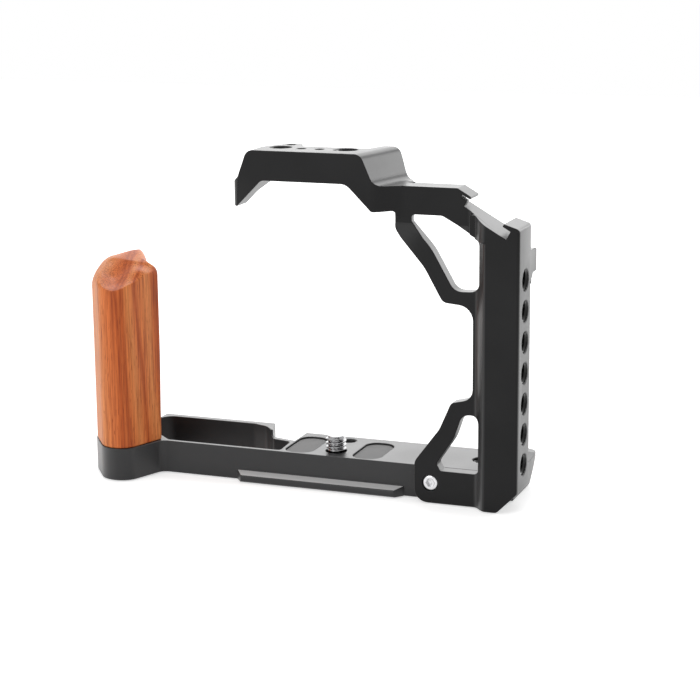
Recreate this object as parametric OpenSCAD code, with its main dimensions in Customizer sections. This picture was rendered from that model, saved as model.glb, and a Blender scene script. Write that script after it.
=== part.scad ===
/* [Overall size] */
// Width from the handle boss to the side face
cage_w = 141; // [139:0.5:146]
// Depth from the front of the handle boss to the back of the base
cage_d = 38; // [37.5:0.1:42]
// Height from the underside of the base to the top of the bridge
cage_h = 104; // [102:0.5:112]

/* [Side pillar] */
// Width of the pillar, seen from the front
pillar_w = 11; // [10.6:0.1:11.8]
// Depth of the pillar
pillar_d = 12.9; // [12.5:0.1:14]
// Slanted cut at the foot of the pillar
foot_cut = 6.3; // [4:0.1:7]
// Rounding of the pillar's upright edges
pillar_r = 0.9; // [0.3:0.1:1.5]
// Number of accessory holes in the side face
side_holes = 7; // [3:1:7]
// Distance between the side holes
side_pitch = 9.2; // [8.6:0.1:9.4]
// Height of the lowest side hole
side_first = 13.6; // [12:0.1:15]
// Distance of the side holes behind the pillar's front
side_hole_y = 6.8; // [6:0.1:7.2]
// Depth of the side holes
side_depth = 9.4; // [6:0.1:9.5]
// Diameter of every accessory hole
quarter_d = 6.4; // [6.35:0.01:6.6]
// Width of the chamfer at the mouth of an accessory hole
mouth = 0.3; // [0.1:0.05:0.5]

/* [Back tab] */
// Reach of the tab behind the pillar
tab_out = 5.7; // [3:0.1:8]
// Height of the underside of the tab
tab_z = 69.6; // [66:0.1:72]
// Height of the tab
tab_h = 6.9; // [5:0.1:8]
// Thickness of the tab
tab_t = 5.5; // [3:0.1:8]

/* [Brace] */
// Distance of the brace behind the pillar's front
brace_set = 3.4; // [2:0.1:4.4]
// Width of the foot of the brace, from the side face
foot_w = 32.8; // [31.5:0.1:36]
// Height of the foot, up to the lower window
foot_h = 10.2; // [9.2:0.1:10.4]

/* [Shelf and bridge] */
// Distance of the shelf behind the pillar's front
shelf_set = 5.2; // [4.5:0.1:6]
// Depth of the shelf's top below the top of the bridge
shelf_drop = 9.2; // [8.5:0.1:10]
// Height of the shelf
shelf_h = 8.3; // [7:0.1:9]
// Distance of the bridge behind the pillar's front
bridge_set = 1.2; // [0.5:0.1:2]
// Distance from the side face to the middle of the bridge
bridge_x = 66.5; // [66:0.1:69]
// Width of the bridge across its upper edges
bridge_top_w = 35.9; // [34:0.1:37]
// Width of the bridge across its shoulders
bridge_w = 45.4; // [44:0.1:47]
// Thickness of the bridge above the viewfinder
bridge_t = 9; // [8.2:0.1:9.5]
// Width of the space for the viewfinder, at its roof
finder_w = 26.8; // [24:0.1:28]
// Depth of the bridge's free leg, from the top of the bridge
leg_drop = 17; // [14:0.1:19]
// Thickness of the bridge's free leg, front to back
leg_d = 7.4; // [6:0.1:8]
// Thickness of the bridge in its middle, front to back
bridge_mid_d = 13.4; // [13:0.1:16]
// Thickness of the bridge at its two back lobes, front to back
bridge_lobe_d = 19.4; // [18:0.1:21]
// Turn of the bridge's right flank, seen from above
flank_turn = 13; // [8:0.5:16]
// Distance of each accessory hole from the middle of the bridge
top_pitch = 10.5; // [10:0.1:11]
// Distance of the accessory holes behind the bridge's front
top_hole_y = 9.2; // [8.5:0.1:9.6]
// Depth of the holes in the top of the bridge
top_depth = 7; // [5:0.1:7.2]
// Diameter of the small holes in the top of the bridge
pilot_d = 2.5; // [2:0.1:3]
// Distance between the small holes
pilot_pitch = 5.8; // [5.2:0.1:6]

/* [Cold shoe] */
// Slope of the shoe
shoe_slope = 30; // [28:0.5:32]
// Distance from the side face to the shoe's lower groove
shoe_x = 4.1; // [3.8:0.1:4.6]
// Depth of the lower groove's floor below the top of the bridge
shoe_drop = 22.5; // [22:0.1:23]
// Width of the shoe between the bottoms of its grooves
shoe_w = 18.4; // [18.2:0.1:19]
// Width of the gap between the shoe's lips
shoe_gap = 12.9; // [12.5:0.1:13.5]
// Height of the grooves
shoe_slot = 2.6; // [2.2:0.1:2.9]
// Thickness of the lips
lip_t = 0.9; // [0.7:0.1:1.2]
// Width of the stop in the upper groove
stop_w = 2.2; // [1:0.1:3]
// Height of the stop
stop_h = 1.8; // [1:0.1:2]
// Thickness of the stop, front to back
stop_d = 2.5; // [1.5:0.1:4]

/* [Base] */
// Height of the base
base_h = 10.2; // [10:0.1:11]
// Distance of the base's front wall behind the pillar's front
wall_set = 7.6; // [7.2:0.1:8.4]
// Thickness of the base's front wall beside the battery opening
wall_t = 1.5; // [1.2:0.1:3]
// Thickness of the base's back wall
back_wall_t = 2.5; // [2:0.1:3.5]
// How far the back wall stands above the base
back_wall_up = 1.8; // [0.5:0.1:3]
// How far the guard behind the pillar stands above the base
guard_up = 1.2; // [0.5:0.1:1.8]
// Width of the platform under the camera, from the side face
platform_w = 78.2; // [77.9:0.1:79]
// Gap between the platform's right end and the side face
end_gap = 2.4; // [1.5:0.1:4]
// How far the base's right end slants in towards its underside
end_slant = 2.5; // [1:0.1:4]
// Height of the ledge behind the battery opening
ledge_h = 6; // [4:0.1:8]
// Distance between the handle boss's front and the pillar's front
boss_out = 6.3; // [5.8:0.1:7]

/* [Rail] */
// How far the rail stands in front of the base's front wall
rail_out = 3.1; // [2:0.1:4]
// How far the rail stands behind the platform
rail_back = 1.3; // [1:0.1:2]
// Height of the rail's edge
rail_edge = 2.2; // [1.5:0.1:3]
// Rise of the rail's upper face, from its edge to the base
rail_rise = 0.9; // [0.5:0.1:1.5]
// Distance from the side face to the rail's near end
rail_x0 = 37.4; // [36:0.1:44]
// Distance from the side face to the rail's far end
rail_x1 = 92.4; // [84:0.1:96]

/* [Rubber pads] */
// Width of a pad
pad_w = 9.2; // [7:0.1:9.4]
// Length of a pad, front to back
pad_l = 18; // [12:0.1:18.4]
// Thickness of a pad
pad_t = 1.2; // [0.8:0.1:2]
// Depth of the pocket that holds a pad
pad_pocket = 1.6; // [1.2:0.1:2.5]
// Rounding of a pad's corners
pad_r = 3.9; // [1:0.1:4.4]
// Distance between the middles of the pads
pad_pitch = 22.2; // [20:0.1:22.3]
// Gap between a pad and the edge of its pocket
pad_gap = 0.12; // [0.05:0.01:0.3]

/* [Camera screw] */
// Distance from the side face to the camera screw
screw_x = 61.9; // [60:0.1:62]
// Distance of the camera screw behind the pillar's front
screw_y = 14.4; // [14.2:0.1:16]
// Thread diameter of the camera screw
screw_d = 6.35; // [6:0.05:6.4]
// Thread length of the camera screw, all of it above the platform
thread_l = 4.9; // [4:0.1:5.2]
// Diameter of the screw's neck below its thread
neck_d = 5; // [4:0.1:5.1]
// Diameter of the screw's head
head_d = 11.4; // [10:0.1:11.8]
// Height of the screw's head
head_h = 2.8; // [2:0.1:3]
// Depth of the pocket for the head, from the underside
head_pocket = 4.6; // [4.4:0.1:5]
// Thickness of the washer above the head
washer_t = 0.8; // [0.5:0.1:1]
// Outer diameter of the washer
washer_d = 11; // [9:0.1:11.4]
// Running clearance of the screw in its washer, on the radius
screw_play = 0.06; // [0.03:0.01:0.09]
// Play above and below the washer
screw_end_play = 0.04; // [0.02:0.01:0.1]
// Clearance of the thread in the base, on the radius
thread_gap = 0.15; // [0.1:0.01:0.25]
// Gap round the head in its pocket, on the radius
pocket_gap = 0.4; // [0.3:0.05:0.6]
// Diameter of the hole for the camera's locating pin
pin_hole_d = 4.2; // [3.5:0.1:4.6]
// Distance of that hole behind the camera screw
pin_hole_back = 11.6; // [11:0.1:12.5]

/* [Frame screws and dowels] */
// Thread diameter of the two frame screws
m_frame = 2.5; // [2:0.1:2.8]
// Length of a frame screw under its head
frame_screw_l = 10; // [8:0.5:12]
// Diameter of a frame screw's head
frame_head_d = 4.5; // [4:0.1:4.8]
// Height of a frame screw's head
frame_head_h = 2.5; // [1.5:0.1:2.6]
// Gap round a frame screw's head in its recess, on the radius
head_gap = 0.25; // [0.1:0.05:0.4]
// Clearance round a frame screw where it passes through, on the radius
pass_gap = 0.2; // [0.1:0.05:0.3]
// Clearance of a fixed thread or a dowel in its hole, on the radius
fit_gap = 0.02; // [0.01:0.01:0.05]
// Thickness of the base between the pillar and the back screw's head
back_grip = 5.6; // [4.5:0.1:6.5]
// Depth of the socket in a frame screw's head
frame_socket_h = 1.4; // [1:0.1:1.5]
// Diameter of the dowels between brace and base
dowel_d = 2; // [1.5:0.1:2.4]
// Length of a dowel
dowel_l = 6; // [4:0.5:6]

/* [Handle fasteners] */
// Thread diameter of the handle screws
m_handle = 4; // [3:0.1:4.4]
// Length of a handle screw, head included
handle_screw_l = 16; // [14:0.5:18]
// Diameter of a handle screw's flat head
handle_head_d = 7.6; // [7:0.1:8]
// Width of the socket in a handle screw's head, across its corners
handle_socket_d = 2.9; // [2.5:0.1:3.5]
// Depth of that socket
handle_socket_h = 1.3; // [1:0.1:1.6]
// Outer diameter of the threaded sleeves in the handle
sleeve_d = 6.4; // [5.8:0.1:7]
// Length of a threaded sleeve
sleeve_l = 9; // [7:0.5:12]
// Distance between the handle screws
handle_pitch = 11; // [10:0.1:11.5]

/* [Wooden handle] */
// Height of the top of the handle above the base's underside
handle_top = 70.4; // [60:0.1:80]
// How far the handle stands in from the edge of its boss
handle_in = 0.3; // [0.2:0.1:1.2]
// Depth of the handle's ridge below its top
ridge_drop = 3.6; // [2:0.1:5]
// Depth of the foot of the thumb scallop below the ridge
scallop_drop = 6.2; // [4:0.1:8]
// Turn of the ridge, seen from above
ridge_turn = 28; // [15:1:35]
// Distance of the ridge's middle from the handle's left side
ridge_x = 14.4; // [13:0.1:16]
// Distance of the ridge's middle behind the pillar's front
ridge_y = 5.6; // [4.6:0.1:6.4]
// Radius of the thumb scallop
scallop_r = 11; // [10:0.5:13]
// Width of the handle's top, from its left side
crown_w = 23; // [22:0.1:24]
// Height of the rounded shoulders at both sides of the top
shoulder_h = 6.5; // [5:0.1:8]

/* [Hidden] */
$fn = 48;
eps = 0.01;
over = 1;

// Outlines use X from the side face towards the handle, as negative numbers, Y from the pillar's
// front towards the back, and Z from the underside of the base.
back_y = cage_d - boss_out;
platform_back = back_y - rail_back;
shelf_z = cage_h - shelf_drop;
window_z = shelf_z - shelf_h;
finder_z = cage_h - bridge_t;
leg_z = cage_h - leg_drop;
grip_x = -cage_w;

// Colours as photographed
anodised = [0.16, 0.16, 0.17];
timber = [0.74, 0.38, 0.2];
rubber = [0.3, 0.3, 0.31];
steel = [0.78, 0.79, 0.8];
brass = [0.75, 0.62, 0.32];
nylon = [0.85, 0.85, 0.82];

// Moves the outlines' frame to the middle of the underside
module place() {
  translate([cage_w / 2, boss_out - cage_d / 2, 0]) children();
}

function unit(v) = v / norm(v);
function turn(u, v) = u[0] * v[1] - u[1] * v[0];
function flat(p) = [p[0], p[1]];

// One corner b = [x, y, radius] of an outline, as an arc that touches both of its edges
function corner(a, b, c, n) =
  let (p = flat(b), u = unit(flat(a) - p), v = unit(flat(c) - p))
  let (half = acos(max(-1, min(1, u * v))) / 2, room = min(norm(flat(a) - p), norm(flat(c) - p)) * 0.49)
  let (reach = min(b[2] / tan(half), room), r = reach * tan(half))
  r < eps || half > 89.5 ? [p] :
  let (m = p + unit(u + v) * r / sin(half), s = p + u * reach - m, e = p + v * reach - m)
  let (start = atan2(s[1], s[0]), sweep = sign(turn(s, e)) * (180 - 2 * half))
  [for (i = [0 : n]) m + r * [cos(start + sweep * i / n), sin(start + sweep * i / n)]];

// A closed outline from corners [x, y, radius]
function rounded(p, n = 6) =
  [for (i = [0 : len(p) - 1]) each corner(p[(i + len(p) - 1) % len(p)], p[i], p[(i + 1) % len(p)], n)];

// A smooth step from point a to point b that starts and ends level
function s_curve(a, b, n = 10) =
  [for (i = [0 : n]) [a[0] + (b[0] - a[0]) * i / n, a[1] + (b[1] - a[1]) * (1 - cos(180 * i / n)) / 2]];

// A front outline (X, Z) made solid from y0 back to y1
module from_front(y0, y1, points) {
  translate([0, y1, 0]) rotate([90, 0, 0]) linear_extrude(y1 - y0) polygon(points);
}

// A side outline (Y, Z) made solid from x0 to x1
module from_side(x0, x1, points) {
  translate([x0, 0, 0]) rotate([90, 0, 90]) linear_extrude(x1 - x0) polygon(points);
}

// A top outline (X, Y) made solid from z0 up to z1
module from_top(z0, z1, points) {
  translate([0, 0, z0]) linear_extrude(z1 - z0) polygon(points);
}

// A hole drilled down from height z, with a chamfered mouth
module drill_down(x, y, z, d, depth) {
  translate([x, y, z - depth]) cylinder(d = d, h = depth + over);
  translate([x, y, z - mouth]) cylinder(d1 = d, d2 = d + 2 * (mouth + over), h = mouth + over);
}

// A round bar along Y from y0 back to y1
module bar_y(x, z, d, y0, y1) {
  translate([x, y1, z]) rotate([90, 0, 0]) cylinder(d = d, h = y1 - y0);
}

// The cold shoe's own frame: s runs up the slope from the lower groove, n stands on the floor
function on_shoe(s, n) = [-shoe_x, cage_h - shoe_drop]
  + s * [-cos(shoe_slope), sin(shoe_slope)] + n * [sin(shoe_slope), cos(shoe_slope)];
lip_reach = (shoe_w - shoe_gap) / 2;
lip_top = shoe_slot + lip_t;
// Distance up the slope at which the lips' top meets the shelf's top
shoe_end = (shelf_z - on_shoe(0, lip_top)[1]) / sin(shoe_slope);
shelf_x = on_shoe(shoe_end, lip_top)[0];
head_top = on_shoe(lip_reach, lip_top)[1];

// The lens side of the brace and its windows hang from the shelf and stand on the foot
lens_x = -14.8;
strand_x = -39.2;

function frame_outline() = rounded([
  [-foot_w, 0, 4],
  [-foot_cut, 0, 1.6],
  [0, foot_cut, 1.2],
  [0, head_top - 1.5, 1.4],
  concat(on_shoe(lip_reach, lip_top), 0.3),
  [shelf_x, shelf_z, 1],
  [-bridge_x, shelf_z, 0],
  [-bridge_x, window_z, 0],
  [strand_x, window_z, 0],
  [strand_x, window_z - 4, 3.5],
  [-29.6, window_z - 15.2, 18],
  [-24, window_z - 25.2, 2.6],
  [lens_x, window_z - 26, 4.6],
  [lens_x, foot_h + 22.7, 3.6],
  [-21.4, foot_h + 21.1, 1.8],
  [-25, foot_h + 12.8, 8],
  [-foot_w, foot_h + 2.3, 4]
]);

function upper_window() = rounded([
  [-34.1, window_z, 1.8],
  [-24.8, window_z, 2],
  [-12.6, window_z - 6.6, 3],
  [-12.6, window_z - 21.5, 3.2],
  [-20.4, window_z - 21.7, 3.8],
  [-27.4, window_z - 9.4, 20],
  [-34.1, window_z - 2, 1.4]
]);

function lower_window() = rounded([
  [-12.6, foot_h, 2],
  [-24.6, foot_h, 0.7],
  [-25.8, foot_h + 2.2, 1],
  [-20.4, foot_h + 10.4, 9],
  [-17.9, foot_h + 17.8, 3],
  [-12.6, foot_h + 17.8, 3]
]);

// Top outline of the pillar and what joins its inner side, as far as left and between set and back
function side_plan(left, set, back, step) = concat(
  s_curve([-step, set], [-pillar_w + 1.1, 0]),
  rounded([
    [-pillar_w + 1.2, 0, 0],
    [0, 0, pillar_r],
    [0, pillar_d, pillar_r],
    each back < pillar_d ? [[-pillar_w, pillar_d, pillar_r], [-pillar_w, back, 0]] : [],
    [left, back, 0],
    [left, set, 0],
    [-step - eps, set, 0]
  ], 4));

// The pillar and the brace in front of the camera
module brace() {
  difference() {
    intersection() {
      from_front(-over, pillar_d + over, frame_outline());
      from_top(0, window_z + over, side_plan(strand_x, brace_set, wall_set, 14.4));
    }
    // Slope up to the front of the shelf
    from_side(-bridge_x, -16, [
      [brace_set - over, window_z - 6.5], [brace_set, window_z - 6.5], [shelf_set, window_z - 2.5],
      [shelf_set, window_z + over], [brace_set - over, window_z + over]]);
  }
}

// The shelf, the shoe's block and the head of the pillar
module shelf() {
  intersection() {
    from_front(-over, pillar_d + over, frame_outline());
    from_top(0, cage_h, side_plan(strand_x, shelf_set, pillar_d, 17));
    from_front(-over, pillar_d + over, [
      [strand_x, window_z], [-24.8, window_z], [-12.6, window_z - 6.6], [over, window_z - 6.6],
      [over, cage_h], [strand_x, cage_h]]);
  }
}

// Front outline of the bridge: its leg, its back and the space for the viewfinder
function bridge_outline() = rounded([
  [-bridge_x - bridge_top_w / 2, cage_h, 2.8],
  [-bridge_x - bridge_w / 2 + 1.7, shelf_z + 1, 1.8],
  [-bridge_x - bridge_w / 2, shelf_z - 0.4, 0.6],
  [-bridge_x - bridge_w / 2, leg_z, 0.8],
  [-bridge_x - bridge_w / 2 + 1.4, leg_z, 0.5],
  [-bridge_x - finder_w / 2, finder_z, 2.5],
  [-bridge_x + finder_w / 2, finder_z, 4],
  [-bridge_x + finder_w / 2 + 7.9, leg_z + 0.1, 1.5],
  [-39.2, leg_z + 0.4, 1],
  [-38.4, window_z - 0.9, 0],
  [-36, window_z - 0.9, 0],
  [-36, cage_h, 0]
], 5);

// Top outline of the bridge, with its two back lobes
function bridge_plan() =
  let (left = -bridge_x - bridge_w / 2, lobe = bridge_set + bridge_lobe_d, mid = bridge_set + bridge_mid_d)
  rounded([
    [-38, pillar_d + 5.5, 2.5], [-43, lobe + 1.6, 2.5], [-48.8, lobe + 1.6, 2], [-50.6, mid, 2.5],
    [-72, mid, 2.5], [-73.8, lobe - 0.6, 1.5], [-78.2, lobe - 0.6, 2],
    [-84, bridge_set + leg_d, 1.5], [left, bridge_set + leg_d, 1], [left, bridge_set, 2.2],
    [-46, bridge_set, 0], [-46, pillar_d, 0], [-36, pillar_d, 0]], 5);

// Outline of the bridge's right flank, before it is turned
function flank_outline() =
  let (top = -bridge_x + bridge_top_w / 2)
  rounded([
    [top, cage_h, 2.9], [top + 3.9, shelf_z, 3.6], [0, shelf_z, 0],
    [0, 0, 0], [-2 * bridge_x, 0, 0], [-2 * bridge_x, cage_h, 0]]);

module bridge() {
  pivot = [-bridge_x + bridge_top_w / 2, bridge_set, 0];
  intersection() {
    from_front(0, back_y, bridge_outline());
    union() {
      from_top(0, cage_h, bridge_plan());
      from_top(0, cage_h, concat(
        s_curve([-45.4, bridge_set], [-36, shelf_set]),
        [[-36, pillar_d], [-46.1, pillar_d], [-46.1, bridge_set]]));
    }
    translate(pivot) rotate([0, 0, -flank_turn]) translate(-pivot)
      from_front(-cage_w, cage_w, flank_outline());
  }
}

// The sloping channel of the cold shoe
module shoe_channel() {
  difference() {
    from_front(-over, cage_d, [
      on_shoe(0, 0), on_shoe(0, shoe_slot), on_shoe(lip_reach, shoe_slot), on_shoe(lip_reach, shoe_w),
      on_shoe(lip_reach + shoe_gap, shoe_w), on_shoe(lip_reach + shoe_gap, shoe_slot),
      on_shoe(shoe_w, shoe_slot), on_shoe(shoe_w, 0)]);
    from_front(-2 * over, shelf_set + stop_d, [
      on_shoe(shoe_w - stop_w, -over), on_shoe(shoe_w - stop_w, stop_h),
      on_shoe(shoe_w + over, stop_h), on_shoe(shoe_w + over, -over)]);
  }
}

// A tab on the back of the pillar, flush with its side face
module back_tab() {
  from_side(-tab_t, 0, [
    [pillar_d - over, tab_z - 2.1 - over], [pillar_d, tab_z - 2.1], [pillar_d + 2.1, tab_z],
    [pillar_d + tab_out, tab_z], [pillar_d + tab_out, tab_z + tab_h - 0.6],
    [pillar_d + tab_out - 0.6, tab_z + tab_h], [pillar_d - over, tab_z + tab_h]]);
}

// Places of the joints between frame and base
front_screw = [-27.8, 6.2];
back_screw = [-6.6, 5];
dowel_x = [-21.5, -13.6];
dowel_z = 4.6;
dowel_in = 2.6;
screw_seat = brace_set + frame_head_h + 0.1;
back_seat = pillar_d + back_grip;

module side_frame() {
  color(anodised) place() difference() {
    union() {
      brace();
      shelf();
      bridge();
      back_tab();
    }
    from_front(-over, cage_d, upper_window());
    from_front(-over, cage_d, lower_window());
    shoe_channel();
    for (i = [0 : side_holes - 1])
      translate([0, side_hole_y, side_first + i * side_pitch]) rotate([0, 90, 0])
        drill_down(0, 0, 0, quarter_d, side_depth);
    for (x = [-top_pitch, top_pitch])
      drill_down(-bridge_x + x, bridge_set + top_hole_y, cage_h, quarter_d, top_depth);
    for (i = [-1 : 1])
      drill_down(-bridge_x + 2.4 + i * pilot_pitch, bridge_set + 7.8, cage_h, pilot_d, top_depth);
    drill_down(-bridge_x - top_pitch + 0.6, bridge_set + bridge_lobe_d - 3.4, cage_h, pilot_d, top_depth);
    // Front screw, back screw and dowels
    bar_y(front_screw[0], front_screw[1], m_frame + 2 * pass_gap, 0, wall_set + over);
    bar_y(front_screw[0], front_screw[1], frame_head_d + 2 * head_gap, 0, screw_seat);
    bar_y(back_screw[0], back_screw[1], m_frame + 2 * fit_gap,
      back_seat - frame_screw_l - 0.5, pillar_d + over);
    for (x = dowel_x)
      bar_y(x, dowel_z, dowel_d + 2 * fit_gap, wall_set - dowel_in, wall_set + over);
  }
}

// Top outline of the grip, with every edge moved in by d
function grip_plan(d) = rounded([
  [grip_x + d, 6.2, 11],
  [grip_x + 9.2 + 0.55 * d, -boss_out + d, 7 - d],
  [grip_x + 17.4 - 0.7 * d, -boss_out + d, 6.5 - d],
  [grip_x + 22.8 - 1.3 * d, 8.6, 0.9],
  [grip_x + 17.6 - 0.6 * d, 12.2 - 0.6 * d, 8],
  [grip_x + 9 - 0.6 * d, 26.4 - 0.8 * d, 1.6],
  [grip_x + 4 + 0.3 * d, 26 - d, 3.5],
  [grip_x + d, 17, 8]
]);

// Top outline of the whole base
function base_plan() = rounded([
  [grip_x, 6.2, 11],
  [grip_x + 9.2, -boss_out, 7],
  [grip_x + 17.4, -boss_out, 6.5],
  [grip_x + 22.9, wall_set, 3],
  [-pillar_w, wall_set, 0],
  [-pillar_w, pillar_d, 0],
  [-end_gap, pillar_d, 0],
  [-end_gap, back_y, 3],
  [-15, back_y, 0.8],
  [-16.3, platform_back, 0.8],
  [-platform_w, platform_back, 1],
  [-platform_w - 0.5, back_y, 0.6],
  [grip_x + 11, back_y, 4],
  [grip_x + 4, 26.4, 4],
  [grip_x, 17, 8]
]);

// Inner edge of the battery opening, from the platform round to the back wall
function battery_outline() = rounded([
  [-platform_w - 0.3, wall_set + wall_t, 1],
  [-platform_w - 0.9, 18.9, 1.5],
  [-platform_w - 7.4, 20.4, 1.4],
  [-platform_w - 8.9, 23.2, 1.2],
  [-platform_w - 12.4, 27.4, 5],
  [-platform_w - 17.6, back_y - back_wall_t, 4],
  [grip_x + 15.5, back_y - back_wall_t, 4],
  [grip_x + 12.6, 24.6, 3],
  [grip_x + 18.8, 14.2, 7],
  [grip_x + 24.5, wall_set + wall_t, 2]
]);

// Slanted end of the raised back wall, from its inner corner to the back
wall_end = [[-platform_w - 8.9, 24], [-platform_w - 11.6, back_y + over]];

// One edge of the quick-release rail, standing out from a wall at Y = 0 towards -Y
module rail(out, x0, x1) {
  intersection() {
    from_side(-x1, -x0, [
      [over, 0], [-out + 0.4, 0], [-out, 0.4], [-out, rail_edge],
      [0, rail_edge + rail_rise], [over, rail_edge + rail_rise]]);
    from_top(-over, base_h, [
      [-x1 - over, over], [-x1 + out, -out - over], [-x0 - out, -out - over], [-x0 + over, over]]);
  }
}

module pad_shape(d, z0, z1) {
  w = pad_w / 2 + d;
  l = pad_l / 2 + d;
  r = pad_r + d;
  from_top(z0, z1, rounded([[-w, -l, r], [w, -l, r], [w, l, r], [-w, l, r]]));
}

screw_at = [-screw_x, screw_y, 0];
washer_z = head_pocket - screw_end_play - washer_t;
pad_y = (wall_set + platform_back) / 2 - 1.4;
pad_seat = base_h - pad_pocket;
end_hole = [-16, 19];
grip_screw = [grip_x + 11.4, 3.6];
grip_line = [-0.36, 0.933];
function grip_at(i) = grip_screw + i * handle_pitch * grip_line;

module base_plate() {
  color(anodised) place() {
    difference() {
      union() {
        from_top(0, base_h, base_plan());
        // The back wall and its inner corner stand higher than the platform
        intersection() {
          from_top(0, base_h + back_wall_up, base_plan());
          from_top(0, base_h + back_wall_up, [
            [grip_x + 13, 24], wall_end[0], wall_end[1], [grip_x + 13, back_y + over]]);
        }
        // Guard behind the pillar
        intersection() {
          from_top(0, base_h + back_wall_up, base_plan());
          from_side(-14, 0, [
            [22, 0], [back_y, 0], [back_y, base_h + guard_up], [28, base_h + guard_up], [22, base_h]]);
        }
        translate([0, wall_set, 0]) rail(rail_out, rail_x0, rail_x1);
        translate([-rail_x0 - platform_w, platform_back, 0]) rotate([0, 0, 180])
          rail(rail_back, rail_x0, platform_w);
      }
      from_top(-over, cage_h, battery_outline());
      // Slanted right end, in line with the chamfer under the pillar
      from_front(-over, cage_d, [
        [-end_gap, base_h], [-end_gap - end_slant, 0], [-end_gap - end_slant, -over],
        [over, -over], [over, base_h]]);
      // Ledge behind the battery opening's corner
      from_top(ledge_h, cage_h, [
        [-platform_w - 9.4, 25.6], [-platform_w - 7.6, 22.6], [-platform_w, 20.6],
        [-platform_w, back_y + over], wall_end[1]]);
      // Camera screw, locating pin and accessory hole
      translate(screw_at + [0, 0, -over]) cylinder(d = head_d + 2 * pocket_gap, h = head_pocket + over);
      translate(screw_at + [0, 0, -over]) cylinder(d = screw_d + 2 * thread_gap, h = base_h + 2 * over);
      drill_down(-screw_x, screw_y + pin_hole_back, base_h, pin_hole_d, base_h / 2);
      drill_down(end_hole[0], end_hole[1], base_h, quarter_d, base_h + over);
      for (x = [-pad_pitch / 2, pad_pitch / 2])
        translate([-screw_x + x, pad_y, 0]) pad_shape(pad_gap, pad_seat, base_h + over);
      // Front screw, back screw and dowels
      bar_y(front_screw[0], front_screw[1], m_frame + 2 * fit_gap,
        wall_set - over, screw_seat + frame_screw_l + 0.5);
      bar_y(back_screw[0], back_screw[1], m_frame + 2 * pass_gap, pillar_d - over, back_y);
      bar_y(back_screw[0], back_screw[1], frame_head_d + 2 * head_gap, back_seat, back_y + over);
      for (x = dowel_x)
        bar_y(x, dowel_z, dowel_d + 2 * fit_gap, wall_set - over, wall_set + dowel_l - dowel_in + 0.3);
      for (i = [0, 1])
        translate(concat(grip_at(i), 0)) {
          translate([0, 0, -over]) cylinder(d = m_handle + 2 * pass_gap, h = base_h + 2 * over);
          translate([0, 0, -over])
            cylinder(d1 = handle_head_d + 2 * (fit_gap + over), d2 = m_handle + 2 * fit_gap,
              h = (handle_head_d - m_handle) / 2 + over);
        }
    }
  }
}

// The handle: the grip's outline, rounded at its shoulders, with a ridge and a thumb scallop on top
module wood_handle() {
  ridge = [grip_x + ridge_x, ridge_y, 0];
  crest = handle_top - ridge_drop;
  scallop_z = crest - scallop_drop;
  color(timber) place() difference() {
    intersection() {
      from_top(base_h, handle_top, grip_plan(handle_in));
      from_front(-cage_d, 2 * cage_d, rounded([
        [grip_x + handle_in, 0, 0], [grip_x + handle_in, handle_top - shoulder_h, 6],
        [grip_x + 8, handle_top + 1, 5], [grip_x + crown_w - 6, handle_top + 1, 5],
        [grip_x + crown_w, handle_top - shoulder_h, 5], [grip_x + crown_w, 0, 0]]));
      translate(ridge) rotate([0, 0, -ridge_turn]) from_side(-cage_d, cage_d, rounded([
        [-2 * crown_w, 0, 0], [-2 * crown_w, scallop_z, 0], [-12, scallop_z, 6], [0, crest, 1],
        [7.5, handle_top, 8], [16, handle_top - 1.5, 6], [28, crest - 8, 0], [28, 0, 0]]));
    }
    // Thumb scallop in front of the ridge
    translate(ridge + [0, -6.4, crest + 7.4]) rotate([90, 0, 90 - ridge_turn])
      translate([0, 0, -cage_d]) cylinder(r = scallop_r, h = 2 * cage_d, $fn = 64);
    for (i = [0, 1])
      translate(concat(grip_at(i), base_h - over)) cylinder(d = sleeve_d + 2 * fit_gap, h = sleeve_l + over);
  }
}

// The camera screw stands up through the base with its whole thread above the platform
module camera_screw() {
  top = washer_z - screw_end_play;
  color(steel) place() translate(screw_at) difference() {
    rotate_extrude() polygon([
      [0, top - head_h], [head_d / 2 - 0.4, top - head_h], [head_d / 2, top - head_h + 0.4],
      [head_d / 2, top], [neck_d / 2, top], [neck_d / 2, base_h + 0.1], [screw_d / 2 - 0.3, base_h + 0.1],
      [screw_d / 2, base_h + 0.4], [screw_d / 2, base_h + thread_l - 0.7],
      [screw_d / 2 - 0.7, base_h + thread_l], [0, base_h + thread_l]]);
    // Slot for a coin
    translate([-head_d, -0.7, top - head_h - over]) cube([2 * head_d, 1.4, 1.5 + over]);
  }
}

module screw_washer() {
  color(nylon) place() translate(screw_at + [0, 0, washer_z]) difference() {
    cylinder(d = washer_d, h = washer_t);
    translate([0, 0, -over]) cylinder(d = neck_d + 2 * screw_play, h = washer_t + 2 * over);
  }
}

module pad(side) {
  color(rubber) place() translate([-screw_x + side * pad_pitch / 2, pad_y, 0])
    pad_shape(0, pad_seat, pad_seat + pad_t);
}

module pad_left() { pad(-1); }
module pad_right() { pad(1); }

// A socket head screw along Y, with its head's inner face at Y = 0 and its thread towards dir
module socket_screw(dir) {
  rotate([-90 * dir, 0, 0]) difference() {
    union() {
      translate([0, 0, -frame_head_h]) cylinder(d = frame_head_d, h = frame_head_h);
      translate([0, 0, -eps]) cylinder(d = m_frame, h = frame_screw_l + eps);
    }
    translate([0, 0, -frame_head_h - over])
      cylinder(d = frame_head_d * 0.5, h = frame_socket_h + over, $fn = 6);
  }
}

module frame_screw_front() {
  color(steel) place() translate([front_screw[0], screw_seat, front_screw[1]]) socket_screw(1);
}

module frame_screw_back() {
  color(steel) place() translate([back_screw[0], back_seat, back_screw[1]]) socket_screw(-1);
}

module dowel(x) {
  color(steel) place() bar_y(x, dowel_z, dowel_d, wall_set - dowel_in, wall_set + dowel_l - dowel_in);
}

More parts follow.
